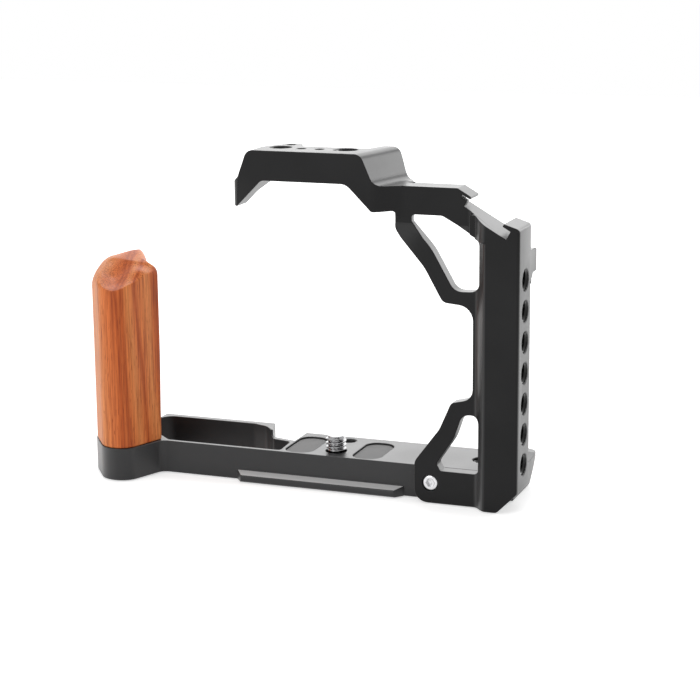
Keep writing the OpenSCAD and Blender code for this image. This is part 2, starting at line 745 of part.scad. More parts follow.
module frame_dowel_left() { dowel(dowel_x[0]); }
module frame_dowel_right() { dowel(dowel_x[1]); }

// A flat head screw that enters the boss from below
module handle_screw(i) {
  cone = (handle_head_d - m_handle) / 2;
  color(steel) place() translate(concat(grip_at(i), 0)) difference() {
    union() {
      cylinder(d1 = handle_head_d, d2 = m_handle, h = cone);
      cylinder(d = m_handle, h = handle_screw_l);
    }
    translate([0, 0, -over]) cylinder(d = handle_socket_d, h = handle_socket_h + over, $fn = 6);
  }
}

module handle_screw_front() { handle_screw(0); }
module handle_screw_back() { handle_screw(1); }

module handle_sleeve(i) {
  color(brass) place() translate(concat(grip_at(i), base_h)) difference() {
    cylinder(d = sleeve_d, h = sleeve_l);
    translate([0, 0, -over]) cylinder(d = m_handle + 2 * fit_gap, h = sleeve_l - 1 + over);
  }
}

module handle_sleeve_front() { handle_sleeve(0); }
module handle_sleeve_back() { handle_sleeve(1); }

side_frame();
base_plate();
wood_handle();
camera_screw();
screw_washer();
pad_left();
pad_right();
frame_screw_front();
frame_screw_back();
frame_dowel_left();
frame_dowel_right();
handle_screw_front();
handle_screw_back();
handle_sleeve_front();
handle_sleeve_back();
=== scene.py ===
# %% [markdown]
# # A camera cage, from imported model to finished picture
# A camera cage is an open metal frame that is screwed round a camera, so that lights, microphones and
# handles have something to hold on to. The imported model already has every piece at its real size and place.
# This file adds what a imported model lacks: softened edges, cut threads, carved wood and the finish of each
# surface. The model is loaded once, as a fixed frame. Nothing in it is moved, and every new piece is made
# where the frame says, in metres.

# %% Load the frame
import math
import bmesh
import bpy
import numpy as np
from mathutils import Matrix


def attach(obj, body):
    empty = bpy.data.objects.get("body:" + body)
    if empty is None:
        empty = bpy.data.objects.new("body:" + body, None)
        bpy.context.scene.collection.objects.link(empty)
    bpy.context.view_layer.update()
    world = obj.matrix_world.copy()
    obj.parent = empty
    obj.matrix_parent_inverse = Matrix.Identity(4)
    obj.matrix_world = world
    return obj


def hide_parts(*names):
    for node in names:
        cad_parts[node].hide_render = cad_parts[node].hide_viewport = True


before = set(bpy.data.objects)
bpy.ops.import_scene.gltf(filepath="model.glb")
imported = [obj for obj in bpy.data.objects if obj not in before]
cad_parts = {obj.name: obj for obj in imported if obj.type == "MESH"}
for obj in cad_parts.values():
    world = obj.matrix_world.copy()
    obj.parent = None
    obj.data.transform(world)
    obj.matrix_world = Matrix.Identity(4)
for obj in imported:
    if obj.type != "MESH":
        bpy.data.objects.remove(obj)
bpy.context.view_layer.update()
MM = 0.001
print("pieces in the frame:", ", ".join(sorted(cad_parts)))

# %% [markdown]
# ## The camera
# The photograph was taken from in front of the cage, to its right and slightly above. The direction was
# worked out from the cage's printed width, depth and height, and the lens from how much its far end
# shrinks. A camera object looks along its own minus Z, so its turning matrix is built from three
# directions: to the right of the picture, up, and back towards the camera.

# %% Place the camera
TURN = math.radians(20.707)     # round the cage, from straight ahead towards its right side
RISE = math.radians(13.055)     # above the horizon
ROLL = math.radians(-0.515)     # of the camera about its own line of sight
LENS_MM = 99.907
SENSOR_MM = 36
CAMERA_AT = np.array([0.21703, -0.53690, 0.17586])


def camera_directions(turn, rise, roll):
    """Right, up and back of a camera. Back points at the camera from what it sees: it is turned from
    straight ahead and lifted by the rise. Up is square to both, and a roll mixes right and up by its cosine
    and sine."""
    right = np.array([math.cos(turn), math.sin(turn), 0])
    back = np.array([math.sin(turn) * math.cos(rise), -math.cos(turn) * math.cos(rise), math.sin(rise)])
    up = np.cross(back, right)
    c, s = math.cos(roll), math.sin(roll)
    return c * right + s * up, c * up - s * right, back


lens = bpy.data.cameras.new("photo_camera")
lens.lens = LENS_MM
lens.sensor_width = SENSOR_MM
lens.clip_start = 0.01
lens.clip_end = 20
camera = bpy.data.objects.new("photo_camera", lens)
bpy.context.scene.collection.objects.link(camera)
axes = np.eye(4)
axes[:3, 0], axes[:3, 1], axes[:3, 2] = camera_directions(TURN, RISE, ROLL)
axes[:3, 3] = CAMERA_AT
camera.matrix_world = Matrix(axes.tolist())
bpy.context.scene.camera = camera
print("camera stands", round(float(np.linalg.norm(CAMERA_AT)), 3), "m away")

# %% [markdown]
# ## Meshes from whole arrays
# Every new piece here is a stack of closed rings. A ring is a row of points, and the rings follow each
# other along the piece, so that one array of shape (rings, points, 3) holds the whole surface. The faces
# join each ring to the next. The first and last ring are closed by a middle point each, or joined to each
# other when the stack goes round in a loop, as the wall of a thread does. The volume inside, summed over
# all faces, tells whether they point outwards: when it is negative, they are turned over.

# %% A skin over rings


def inside_volume(points, corners):
    """Volume inside closed faces: one sixth of the triple product of each triangle's corners, added up."""
    a, b, c = points[corners[:, 0]], points[corners[:, 1]], points[corners[:, 2]]
    return float(np.einsum("ij,ij->i", a, np.cross(b, c)).sum() / 6)


def ring_faces(rings, count, loop):
    """Quads between neighbouring rings. Corner k of ring i joins corner k + 1 and the same two of ring i +
    1, and both numbers start again after the last one where the surface closes on itself."""
    i = np.arange(rings if loop else rings - 1)[:, None]
    k = np.arange(count)[None, :]
    j, m = (i + 1) % rings, (k + 1) % count
    quads = [i * count + k, i * count + m, j * count + m, j * count + k]
    return np.stack([np.broadcast_to(q, (len(i), count)) for q in quads], -1).reshape(-1, 4)


def fan_faces(first, count, middle, flip):
    """Triangles from one ring, whose first point has the number first, to its middle point."""
    k = np.arange(count)
    m = (k + 1) % count
    sides = [first + m, first + k] if flip else [first + k, first + m]
    return np.stack([*sides, np.full(count, middle)], -1)


def skin(points, loop=False):
    """Points and faces of a closed surface over rings of shape (rings, count, 3), its faces outwards."""
    rings, count, _ = points.shape
    flat = points.reshape(-1, 3)
    quads = ring_faces(rings, count, loop)
    fans = np.zeros((0, 3), int)
    if not loop:
        flat = np.vstack([flat, points[0].mean(0), points[-1].mean(0)])
        last = rings * count
        fans = np.vstack([fan_faces(0, count, last, True), fan_faces(last - count, count, last + 1, False)])
    halves = np.vstack([quads[:, [0, 1, 2]], quads[:, [0, 2, 3]], fans])
    if inside_volume(flat, halves) < 0:
        quads, fans = quads[:, ::-1], fans[:, ::-1]
    return flat, quads.tolist() + fans.tolist()


def piece(name, skins, body, finish, sharp=35):
    """One object from one or more closed skins, smooth but for edges sharper than the angle, on its body."""
    points, faces, start = [], [], 0
    for p, f in skins:
        points.append(p)
        faces += [[c + start for c in face] for face in f]
        start += len(p)
    mesh = bpy.data.meshes.new(name)
    mesh.from_pydata(np.vstack(points).tolist(), [], faces)
    mesh.validate()
    mesh.shade_smooth()
    mesh.set_sharp_from_angle(angle=math.radians(sharp))
    mesh.materials.append(finish)
    made = bpy.data.objects.new(name, mesh)
    bpy.context.scene.collection.objects.link(made)
    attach(made, body)
    print(f"{name}: {len(mesh.vertices)} points, {len(mesh.polygons)} faces")
    return made


# %% [markdown]
# ## The stage
# The photograph has a white background. A white floor would need a great deal of light to look white, and
# that light would bleach the wood. So the floor and the sky are simply shown white to the camera, and to
# polished surfaces that mirror them, while the light that falls on the cage stays plain. Light Path tells a
# material which kind of ray is asking. The floor keeps a soft shadow, because only part of its white is its
# own. Its back is clear, so that the cage's underside can be looked at from below.

# %% White floor and sky
FLOOR_SIDE = 2.4
FLOOR_OWN_WHITE = 0.5       # what the floor adds to its lit colour where it is seen
FLOOR_Z = -0.0003           # just under the cage, so that the two never share a plane
SKY_LIGHT = 0.62            # strength of the sky as a lamp; where it is seen, it is 1


def nodes_of(tree):
    """A way to add a node with its settings and its fixed inputs in one call."""

    def add(kind, settings=None, **inputs):
        """One new node. An underscore in an input's name stands for a space."""
        node = tree.nodes.new(kind)
        for key, value in (settings or {}).items():
            setattr(node, key, value)
        for key, value in inputs.items():
            node.inputs[key.replace("_", " ")].default_value = value
        return node
    return add


def seen_directly(tree, add):
    """1 for a ray from the camera, a mirror or glass, and 0 for a ray that only gathers light."""
    path = add("ShaderNodeLightPath")
    first = add("ShaderNodeMath", {"operation": "MAXIMUM"})
    both = add("ShaderNodeMath", {"operation": "MAXIMUM"})
    tree.links.new(path.outputs["Is Camera Ray"], first.inputs[0])
    tree.links.new(path.outputs["Is Glossy Ray"], first.inputs[1])
    tree.links.new(first.outputs[0], both.inputs[0])
    tree.links.new(path.outputs["Is Transmission Ray"], both.inputs[1])
    return both.outputs[0]


world = bpy.data.worlds.new("studio_sky")
bpy.context.scene.world = world
world.use_nodes = True
sky = world.node_tree
sky.nodes.clear()
add = nodes_of(sky)
lamp = add("ShaderNodeBackground", Color=(1, 1, 1, 1), Strength=SKY_LIGHT)
shown = add("ShaderNodeBackground", Color=(1, 1, 1, 1), Strength=1.0)
choose = add("ShaderNodeMixShader")
sky.links.new(seen_directly(sky, add), choose.inputs[0])
sky.links.new(lamp.outputs[0], choose.inputs[1])
sky.links.new(shown.outputs[0], choose.inputs[2])
sky.links.new(choose.outputs[0], add("ShaderNodeOutputWorld").inputs[0])

paper = bpy.data.materials.new("white_paper")
paper.use_nodes = True
tree = paper.node_tree
tree.nodes.clear()
add = nodes_of(tree)
matt = add("ShaderNodeBsdfDiffuse", Color=(0.86, 0.86, 0.86, 1))
glow = add("ShaderNodeEmission", Color=(1, 1, 1, 1))
share = add("ShaderNodeMath", {"operation": "MULTIPLY"})
share.inputs[1].default_value = FLOOR_OWN_WHITE
both = add("ShaderNodeAddShader")
tree.links.new(seen_directly(tree, add), share.inputs[0])
tree.links.new(share.outputs[0], glow.inputs["Strength"])
tree.links.new(matt.outputs[0], both.inputs[0])
tree.links.new(glow.outputs[0], both.inputs[1])
clear = add("ShaderNodeMixShader")
tree.links.new(add("ShaderNodeNewGeometry").outputs["Backfacing"], clear.inputs[0])
tree.links.new(both.outputs[0], clear.inputs[1])
tree.links.new(add("ShaderNodeBsdfTransparent").outputs[0], clear.inputs[2])
tree.links.new(clear.outputs[0], add("ShaderNodeOutputMaterial").inputs[0])

half = FLOOR_SIDE / 2
floor_mesh = bpy.data.meshes.new("studio_floor")
corners = [(x * half, y * half, FLOOR_Z) for x, y in ((-1, -1), (1, -1), (1, 1), (-1, 1))]
floor_mesh.from_pydata(corners, [], [(0, 1, 2, 3)])
floor_mesh.materials.append(paper)
studio_floor = bpy.data.objects.new("studio_floor", floor_mesh)
bpy.context.scene.collection.objects.link(studio_floor)
print("floor", FLOOR_SIDE, "m wide at z =", FLOOR_Z)

# %% [markdown]
# ## The lamps
# Black metal shows its lamps and little else. In the photograph its tops and its right side are pale and
# its front is nearly black, so the large lamps stand behind and to the right, where those faces mirror them
# at a glancing angle. One above them is mirrored by the faces that lean, and one in front lights the wood.

# %% Soft boxes
AIM = np.array([0, 0, 0.05])


def soft_box(name, place, width, height, brightness):
    """A square-on lamp of even brightness. Its power is brightness times pi times its area, because an even
    lamp sends pi times its brightness through each square metre."""
    light = bpy.data.lights.new(name, "AREA")
    light.shape = "RECTANGLE"
    light.size = width
    light.size_y = height
    light.energy = brightness * math.pi * width * height
    lamp_object = bpy.data.objects.new(name, light)
    back = np.array(place) - AIM
    back /= np.linalg.norm(back)
    right = np.cross([0, 0, 1], back)
    right /= np.linalg.norm(right)
    axes = np.eye(4)
    axes[:3, 0], axes[:3, 1], axes[:3, 2], axes[:3, 3] = right, np.cross(back, right), back, place
    lamp_object.matrix_world = Matrix(axes.tolist())
    lamp_object.visible_camera = False
    bpy.context.scene.collection.objects.link(lamp_object)
    print(f"{name}: {light.energy:.2f} W")


soft_box("lamp_behind", (-0.15, 1.30, 0.43), 2.2, 0.78, 1.45)
soft_box("lamp_above", (-0.20, 0.80, 1.00), 1.3, 0.7, 2.2)
soft_box("lamp_right", (0.95, 0.95, 0.45), 0.7, 0.6, 3.25)
soft_box("lamp_front", (-0.60, -1.2, 0.7), 0.9, 0.8, 2.8)

# %% [markdown]
# ## Black anodised aluminium
# The frame and the base are milled from aluminium, blasted with fine beads and dyed black. Blasting leaves
# a grain of about a tenth of a millimetre, which spreads reflections. The dye layer is clear glass over
# black, so the finish is a dark colour under a gloss that grows at glancing angles. That growth is what
# turns the tops and the right side of the cage pale. The rail's sloping sides are painted pale grey: a
# painted highlight, for the light that falls on them from above.

# %% Material helpers


def material(name, **inputs):
    """A material with one main shader, its fixed inputs, and its node tree ready for more."""
    made = bpy.data.materials.new(name)
    made.use_nodes = True
    made.node_tree.nodes.clear()
    add = nodes_of(made.node_tree)
    shader = add("ShaderNodeBsdfPrincipled", **inputs)
    made.node_tree.links.new(shader.outputs[0], add("ShaderNodeOutputMaterial").inputs[0])
    return made, made.node_tree, add, shader


def object_place(tree, add, scale=(1, 1, 1), turn=(0, 0, 0)):
    """The piece's own coordinates in metres, stretched and turned by a Mapping node."""
    place = add("ShaderNodeTexCoord")
    mapping = add("ShaderNodeMapping", Scale=scale, Rotation=turn)
    tree.links.new(place.outputs["Object"], mapping.inputs["Vector"])
    return mapping.outputs[0]


def noise(tree, add, place, size_mm, detail=2.0, rough=0.5):
    """Noise whose lumps are about size_mm across, because Noise takes its scale as lumps to the metre."""
    made = add("ShaderNodeTexNoise", Scale=1 / (size_mm * MM), Detail=detail, Roughness=rough)
    tree.links.new(place, made.inputs["Vector"])
    return made.outputs[0]


def spread(tree, add, value, low, high, start=0.0, end=1.0):
    """A number taken from the range start to end and laid over the range low to high."""
    made = add("ShaderNodeMapRange", From_Min=start, From_Max=end, To_Min=low, To_Max=high)
    tree.links.new(value, made.inputs["Value"])
    return made.outputs[0]


def ramp(tree, add, value, stops):
    """A colour from a number, through stops of (place, colour)."""
    made = add("ShaderNodeValToRGB")
    elements = made.color_ramp.elements
    while len(elements) < len(stops):
        elements.new(0.5)
    for element, (place, colour) in zip(elements, stops):
        element.position = place
        element.color = (*colour, 1)
    tree.links.new(value, made.inputs[0])
    return made.outputs[0]


def bump(tree, add, height, depth_mm, below=None):
    """A bump of a real depth, over another bump if one is given."""
    made = add("ShaderNodeBump", Strength=1.0, Distance=depth_mm * MM)
    tree.links.new(height, made.inputs["Height"])
    if below:
        tree.links.new(below, made.inputs["Normal"])
    return made.outputs[0]


# %% The anodised finish
GRAIN_MM = 0.14
CLOUD_MM = 18


def anodised(name, dark, pale, rough, front_gloss):
    """Black dye that is a little uneven over a finger's width, over blasted grain. Layer Weight is 0
    where the surface faces the eye and 1 at its rim, and raises the gloss towards the rim."""
    made, tree, add, shader = material(name, IOR=1.45)
    place = object_place(tree, add)
    clouds = noise(tree, add, place, CLOUD_MM, 3.0)
    grain = noise(tree, add, place, GRAIN_MM, 2.0, 0.6)
    rim = add("ShaderNodeLayerWeight").outputs["Facing"]
    tree.links.new(spread(tree, add, rim, front_gloss, 1.0, 0.1, 0.6), shader.inputs["Specular IOR Level"])
    tree.links.new(ramp(tree, add, clouds, [(0.3, dark), (0.7, pale)]), shader.inputs["Base Color"])
    worn = spread(tree, add, clouds, rough - 0.03, rough + 0.04, 0.3, 0.7)
    tree.links.new(worn, shader.inputs["Roughness"])
    tree.links.new(bump(tree, add, grain, 0.006), shader.inputs["Normal"])
    return made


def between(tree, add, value, low, high):
    """1 where a number lies between two bounds, and 0 elsewhere."""
    above = add("ShaderNodeMath", {"operation": "GREATER_THAN"})
    below = add("ShaderNodeMath", {"operation": "LESS_THAN"})
    both = add("ShaderNodeMath", {"operation": "MULTIPLY"})
    for test, bound in ((above, low), (below, high)):
        tree.links.new(value, test.inputs[0])
        test.inputs[1].default_value = bound
    tree.links.new(above.outputs[0], both.inputs[0])
    tree.links.new(below.outputs[0], both.inputs[1])
    return both.outputs[0]


def paint_rail_highlight(made, grey, low_mm, high_mm):
    """A painted highlight: grey over the black where a face lies in the rail's height and leans as the rail's
    sides do: the upward share of its direction is just under 1."""
    tree = made.node_tree
    add = nodes_of(tree)
    shader = tree.nodes["Principled BSDF"]
    black = shader.inputs["Base Color"].links[0].from_socket
    height, lean = add("ShaderNodeSeparateXYZ"), add("ShaderNodeSeparateXYZ")
    tree.links.new(object_place(tree, add), height.inputs[0])
    tree.links.new(add("ShaderNodeNewGeometry").outputs["True Normal"], lean.inputs[0])
    share = add("ShaderNodeMath", {"operation": "MULTIPLY"})
    tree.links.new(between(tree, add, height.outputs["Z"], low_mm * MM, high_mm * MM), share.inputs[0])
    tree.links.new(between(tree, add, lean.outputs["Z"], 0.9, 0.99), share.inputs[1])
    highlight_mix = add("ShaderNodeMix", {"data_type": "RGBA"})
    highlight_mix.inputs["B"].default_value = (grey, grey, grey, 1)
    tree.links.new(share.outputs[0], highlight_mix.inputs["Factor"])
    tree.links.new(black, highlight_mix.inputs["A"])
    tree.links.new(highlight_mix.outputs["Result"], shader.inputs["Base Color"])


frame_black = anodised("anodised_frame", (0.005, 0.005, 0.0053), (0.009, 0.009, 0.0094), 0.33, 0.22)
# grey of the painted highlight on the rail's sloping sides, for the light that falls on them from above
RAIL_HIGHLIGHT_GREY = 0.55
RAIL_LOW, RAIL_HIGH = 2.1, 3.2          # heights between which the rail's sides slope, in mm
# The base's black is lighter than the frame's: painted light on the base's low faces, which the light reaches
# more.
base_black_lit = anodised("anodised_base", (0.019, 0.019, 0.02), (0.026, 0.026, 0.027), 0.34, 0.41)
paint_rail_highlight(base_black_lit, RAIL_HIGHLIGHT_GREY, RAIL_LOW, RAIL_HIGH)
# The threads get a darker black than the frame: painted shade inside the bores.
thread_black_shaded = anodised("anodised_threads", (0.004, 0.004, 0.004), (0.007, 0.007, 0.007), 0.15, 0.3)
print("anodised finishes: frame, base, threads")

# %% [markdown]
# ## Oiled hardwood
# The handle is a red, straight-grained hardwood. Three things make it look like wood, each at its own size:
# growth rings, fine lines between them, and open pores, which are short dark scratches along the grain. The
# rings of a thick tree are nearly flat layers across a small block, so they are a ramp of colours over the
# distance across the handle, leaned a little, and made to wander by slow noise. The lines and pores are
# noise that is stretched along Z, where the grain runs.

# %% The wood
PALE_WOOD = (0.64, 0.215, 0.064)
TAN_WOOD = (0.60, 0.158, 0.040)
RED_WOOD = (0.52, 0.118, 0.024)
DARK_WOOD = (0.40, 0.074, 0.012)
PORE_WOOD = (0.20, 0.030, 0.006)
RINGS = [(0.00, TAN_WOOD), (0.07, RED_WOOD), (0.13, PALE_WOOD), (0.36, PALE_WOOD), (0.48, TAN_WOOD),
         (0.56, RED_WOOD), (0.60, DARK_WOOD), (0.63, RED_WOOD), (0.67, DARK_WOOD), (0.71, TAN_WOOD),
         (0.76, PALE_WOOD), (0.80, TAN_WOOD), (0.825, DARK_WOOD), (0.85, TAN_WOOD), (0.92, PALE_WOOD),
         (0.965, RED_WOOD), (1.00, DARK_WOOD)]
RING_FROM, RING_TO = -70.5, -46.0     # where the first and the last ring lie, in mm along X
RING_LEAN, RING_TURN = math.radians(2.2), math.radians(-8)
WANDER_MM = 1.2

timber, tree, add, shader = material("oiled_timber", IOR=1.42, Specular_IOR_Level=0.35)
slow = noise(tree, add, object_place(tree, add, (1, 1, 0.09)), 7.5, 1.2, 0.45)
fine = noise(tree, add, object_place(tree, add, (1, 1, 0.03)), 0.5, 3.0, 0.6)
pores = noise(tree, add, object_place(tree, add, (1, 1, 0.07)), 0.24, 1.0, 0.5)
leaned = add("ShaderNodeSeparateXYZ")
tree.links.new(object_place(tree, add, turn=(0, RING_LEAN, RING_TURN)), leaned.inputs[0])
wandered = add("ShaderNodeMath", {"operation": "ADD"})
tree.links.new(leaned.outputs["X"], wandered.inputs[0])
tree.links.new(spread(tree, add, slow, -WANDER_MM * MM, WANDER_MM * MM, 0.3, 0.7), wandered.inputs[1])
ring = spread(tree, add, wandered.outputs[0], 0, 1, RING_FROM * MM, RING_TO * MM)
lines = ramp(tree, add, fine, [(0.32, (0.62, 0.50, 0.42)), (0.50, (1, 1, 1)), (0.68, (1.22, 1.26, 1.3))])
toned = add("ShaderNodeMix", {"data_type": "RGBA", "blend_type": "MULTIPLY"})
toned.inputs["Factor"].default_value = 1
tree.links.new(ramp(tree, add, ring, RINGS), toned.inputs["A"])
tree.links.new(lines, toned.inputs["B"])
open_pores = spread(tree, add, pores, 0.6, 0.0, 0.29, 0.37)
pored = add("ShaderNodeMix", {"data_type": "RGBA"})
pored.inputs["B"].default_value = (*PORE_WOOD, 1)
tree.links.new(open_pores, pored.inputs["Factor"])
tree.links.new(toned.outputs["Result"], pored.inputs["A"])
tree.links.new(pored.outputs["Result"], shader.inputs["Base Color"])
tree.links.new(spread(tree, add, fine, 0.40, 0.55), shader.inputs["Roughness"])
tree.links.new(bump(tree, add, pores, 0.02, bump(tree, add, fine, 0.015)), shader.inputs["Normal"])
print("timber: rings, lines and pores")

# %% [markdown]
# ## Steel, brass, nylon and rubber
# The fasteners are bright stainless steel, and the camera screw has a darker copy of it: painted shade,
# for the dark surroundings its thread mirrors. Both have faint turning marks, which are rings round the
# screw. Noise that runs round in a circle would need polar coordinates, so noise that is pressed flat along
# the axis stands in for them. The sleeves are turned brass, the washer is milky nylon and the pads are matt
# grey rubber with a fine moulded texture.

# %% Small finishes


def metal(name, colour, rough, turned_mm):
    """Bright metal with fine marks: noise pressed flat along Z, in both the gloss and the surface."""
    made, tree, add, shader = material(name, Base_Color=(*colour, 1), Metallic=1.0)
    marks = noise(tree, add, object_place(tree, add, (0.2, 0.2, 1)), turned_mm, 2.0)
    worn = spread(tree, add, marks, rough - 0.05, rough + 0.07, 0.3, 0.7)
    tree.links.new(worn, shader.inputs["Roughness"])
    tree.links.new(bump(tree, add, marks, 0.002), shader.inputs["Normal"])
    return made


def soft_finish(name, dark, pale, rough, lump_mm, depth_mm, **inputs):
    """Rubber or nylon: two near shades over a moulded texture."""
    made, tree, add, shader = material(name, **inputs)
    lumps = noise(tree, add, object_place(tree, add), lump_mm, 2.0)
    tree.links.new(ramp(tree, add, lumps, [(0.35, dark), (0.65, pale)]), shader.inputs["Base Color"])
    worn = spread(tree, add, lumps, rough - 0.04, rough + 0.04, 0.3, 0.7)
    tree.links.new(worn, shader.inputs["Roughness"])
    tree.links.new(bump(tree, add, lumps, depth_mm), shader.inputs["Normal"])
    return made


steel = metal("stainless_steel", (0.64, 0.64, 0.65), 0.2, 0.12)
# A darker copy of the steel for the camera screw: painted shade, for the dark surroundings its thread
# mirrors.
screw_steel_shaded = metal("screw_steel_shaded", (0.33, 0.33, 0.335), 0.16, 0.12)
brass = metal("turned_brass", (0.75, 0.55, 0.24), 0.26, 0.15)
rubber = soft_finish("pad_rubber", (0.085, 0.085, 0.085), (0.105, 0.105, 0.105), 0.62, 0.16, 0.012, IOR=1.5)
nylon = soft_finish("milky_nylon", (0.66, 0.66, 0.62), (0.72, 0.72, 0.69), 0.42, 0.5, 0.006, IOR=1.53)
print("small finishes: steel, brass, rubber, nylon")

# %% [markdown]
# ## Milled pieces with softened edges
# The frame and the base have the right shape already, but their edges are as sharp as mathematics. Real
# edges are broken by the blasting and carry a thin line of light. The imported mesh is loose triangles, so a
# copy of it is merged, its flat faces are joined again, and a Bevel modifier rounds each edge that turns by
# more than 30 degrees.

# %% Soften the milled pieces
EDGE_MM = 0.22
SEAM_MM = 0.0005


def milled(node, finish):
    """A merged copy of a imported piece, with its flat faces joined and its sharp edges rounded."""
    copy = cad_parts[node].data.copy()
    copy.name = node + "_milled"
    copy.materials.clear()
    copy.materials.append(finish)
    work = bmesh.new()
    work.from_mesh(copy)
    bmesh.ops.remove_doubles(work, verts=work.verts, dist=SEAM_MM * MM)
    bmesh.ops.dissolve_limit(work, angle_limit=math.radians(0.4), verts=work.verts, edges=work.edges)
    open_edges = sum(not e.is_manifold for e in work.edges)
    work.to_mesh(copy)
    work.free()
    copy.shade_smooth()
    copy.set_sharp_from_angle(angle=math.radians(30))
    made = bpy.data.objects.new(node + "_milled", copy)
    bpy.context.scene.collection.objects.link(made)
    edge = made.modifiers.new("softened_edges", "BEVEL")
    edge.width = EDGE_MM * MM
    edge.segments = 2
    edge.limit_method = "ANGLE"
    edge.angle_limit = math.radians(30)
    edge.use_clamp_overlap = False
    edge.harden_normals = True
    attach(made, "root")
    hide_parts(node)
    print(f"{made.name}: {len(copy.polygons)} faces before bevelling, {open_edges} open edges")
    return made


milled("side_frame", frame_black)
milled("base_plate", base_black_lit)

# %% [markdown]
# ## The wooden handle
# The handle is a block whose outline, seen from above, is a rounded wedge. Its top was made in two steps,
# as a carver would: the block was sawn off at a slope and its shoulders were rounded, and then a hollow for
# the thumb was carved into the front of it, which left a ridge. A height map describes such a top well: one
# height for each place in the outline. Each of the two steps is a smooth sheet through a few measured
# heights. At each place the lower sheet wins, and where the two cross there is a carved edge.

# %% Outline of the handle
CAGE_W, PILLAR_FRONT = 141.0, 12.7
BOSS_X = -CAGE_W             # the drawing frame: X from the side face, Y from the pillar's front, in mm
HANDLE_IN = 0.3
GRIP_CORNERS = [             # x, y and radius at the boss's edge, and how each moves when the edge goes in
    (0.0, 6.2, 11.0, 1.0, 0.0, 0.0),
    (9.2, -6.3, 7.0, 0.55, 1.0, -1.0),
    (17.4, -6.3, 6.5, -0.7, 1.0, -1.0),
    (22.8, 8.6, 0.9, -1.3, 0.0, 0.0),
    (17.6, 12.2, 8.0, -0.6, -0.6, 0.0),
    (9.0, 26.4, 1.6, -0.6, -0.8, 0.0),
    (4.0, 26.0, 3.5, 0.3, -1.0, 0.0),
    (0.0, 17.0, 8.0, 1.0, 0.0, 0.0),
]


def to_frame(points):
    """Points of the drawing frame in mm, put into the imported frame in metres."""
    return (points + np.array([CAGE_W / 2, -PILLAR_FRONT, 0])) * MM


def rounded(corners, steps):
    """A closed outline with its corners rounded. Each arc touches both edges at a distance of the radius
    over the tangent of half the corner's angle, at most just under half the shorter edge, and has steps
    pieces."""
    p, radius = corners[:, :2], corners[:, 2]
    back, on = np.roll(p, 1, 0) - p, np.roll(p, -1, 0) - p
    room = 0.49 * np.minimum(np.linalg.norm(back, axis=1), np.linalg.norm(on, axis=1))
    u, v = back / np.linalg.norm(back, axis=1)[:, None], on / np.linalg.norm(on, axis=1)[:, None]
    half = np.arccos(np.clip((u * v).sum(1), -1, 1)) / 2
    reach = np.minimum(radius / np.tan(half), room)
    r = reach * np.tan(half)
    middle = p + (u + v) / np.linalg.norm(u + v, axis=1)[:, None] * (r / np.sin(half))[:, None]
    s, e = p + u * reach[:, None] - middle, p + v * reach[:, None] - middle
    sweep = np.sign(s[:, 0] * e[:, 1] - s[:, 1] * e[:, 0]) * (np.pi - 2 * half)
    angle = np.arctan2(s[:, 1], s[:, 0])[:, None] + sweep[:, None] * np.linspace(0, 1, steps + 1)[None, :]
    arcs = middle[:, None, :] + r[:, None, None] * np.stack([np.cos(angle), np.sin(angle)], -1)
    return arcs.reshape(-1, 2)


def even_steps(outline, count):
    """The same closed outline as count points, at equal distances along it."""
    closed = np.vstack([outline, outline[:1]])
    along = np.concatenate([[0], np.cumsum(np.linalg.norm(np.diff(closed, axis=0), axis=1))])
    at = np.linspace(0, along[-1], count, endpoint=False)
    return np.stack([np.interp(at, along, closed[:, k]) for k in (0, 1)], -1)


def grip_outline(inset, count):
    """The handle's outline in the drawing frame, moved in by inset mm."""
    c = np.array(GRIP_CORNERS)
    corners = c[:, :3] + inset * c[:, 3:]
    corners[:, 0] += BOSS_X
    return even_steps(rounded(corners, 12), count)


grip_edge = grip_outline(HANDLE_IN, 360)
print("handle outline in mm:", np.ptp(grip_edge, 0).round(1), "in", len(grip_edge), "points")

# %% Height of the carved top
HANDLE_FOOT = 10.2
BLOCK = np.array([           # x, y and height at places on the top as sawn, before its shoulders are rounded
    (-140.5, 6.5, 63.9), (-140.2, 9.5, 65.6), (-139.9, 12.0, 66.6), (-136.9, 16.0, 67.1),
    (-134.2, 16.0, 67.9), (-130.6, 16.0, 68.9), (-128.4, 15.0, 68.7), (-135.3, 10.5, 66.9),
    (-130.3, 8.5, 67.2), (-125.5, 7.4, 67.0), (-122.6, 8.4, 66.4), (-134.6, 4.0, 64.9),
    (-132.4, -1.0, 63.2), (-130.1, -5.0, 61.9), (-120.0, 6.0, 65.6), (-134.0, 24.0, 67.6),
    (-130.0, 20.0, 68.6), (-137.0, 20.0, 67.0)])
HOLLOW = np.array([          # the same on the hollow that is carved into it, up to the ridge and past it
    (-135.3, 10.5, 66.8), (-130.3, 8.5, 67.1), (-125.5, 7.4, 66.8), (-122.6, 8.4, 66.0),
    (-131.6, 3.4, 62.5), (-129.0, -1.0, 61.1), (-126.3, 3.0, 64.2), (-122.0, 3.0, 64.9),
    (-130.1, -5.0, 60.9), (-126.2, -6.0, 60.1), (-122.9, -4.0, 61.5), (-120.9, 1.3, 62.9),
    (-119.4, 6.0, 64.2), (-134.6, 4.0, 64.4), (-133.0, -0.5, 63.3), (-135.0, 15.0, 72.0),
    (-128.0, 13.0, 72.5), (-123.0, 12.5, 70.5), (-138.6, 8.0, 67.5), (-137.5, 2.0, 66.5)])


